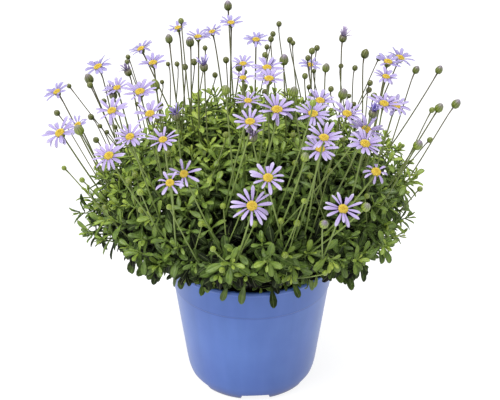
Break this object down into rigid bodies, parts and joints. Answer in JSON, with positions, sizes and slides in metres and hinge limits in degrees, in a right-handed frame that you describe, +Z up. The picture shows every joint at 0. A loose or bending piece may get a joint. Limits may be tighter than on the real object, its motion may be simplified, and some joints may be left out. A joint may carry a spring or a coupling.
{
  "type": "potted shrub aster",
  "caption": "Rounded leafy shrub aster in a tapered plastic nursery pot, with lavender daisies and green buds on long stalks above the foliage.",
  "frame": {"origin": "centre of the pot's foot, on the surface it stands on", "axes": "+Z up along the pot's axis, -Y towards the viewer of the picture, +X to the viewer's right"},
  "size_m": [0.3014, 0.3077, 0.2926],
  "materials": {
    "pot_plastic": "satin",
    "peat": "matt",
    "foliage": "satin",
    "petals": "matt"
  },
  "bodies": {
    "root": {"pot": "pot_plastic", "soil": "peat", "clump_centre": "foliage", "clump_1": "foliage", "clump_2": "foliage", "clump_3": "foliage", "clump_4": "foliage", "clump_5": "foliage", "bloom_01": "petals", "bloom_02": "petals", "bloom_03": "petals", "bloom_04": "petals", "bloom_05": "petals", "bloom_06": "petals", "bloom_07": "petals", "bloom_08": "petals", "bloom_09": "petals", "bloom_10": "petals", "bloom_11": "petals", "bloom_12": "petals", "bloom_13": "petals", "bloom_14": "petals", "bloom_15": "petals", "bloom_16": "petals", "bloom_17": "petals", "bloom_18": "petals", "bloom_19": "petals", "bloom_20": "petals", "bloom_21": "petals", "bloom_22": "petals", "bloom_23": "petals", "bloom_24": "petals", "bloom_25": "petals", "bloom_26": "petals", "bloom_27": "petals", "bloom_28": "petals", "bloom_29": "petals", "bloom_30": "petals", "bloom_31": "petals", "bloom_32": "petals", "bloom_33": "petals", "bloom_34": "petals", "bloom_35": "petals", "bloom_36": "petals", "bloom_37": "petals", "bloom_38": "petals", "bloom_39": "petals", "bloom_40": "petals", "bloom_41": "petals", "bloom_42": "petals", "bloom_43": "petals", "bloom_44": "petals", "bloom_45": "petals", "bloom_46": "petals", "bloom_47": "petals", "bloom_48": "petals", "bloom_49": "petals", "bloom_50": "petals", "bloom_51": "petals", "bloom_52": "petals"}
  },
  "joints": []
}
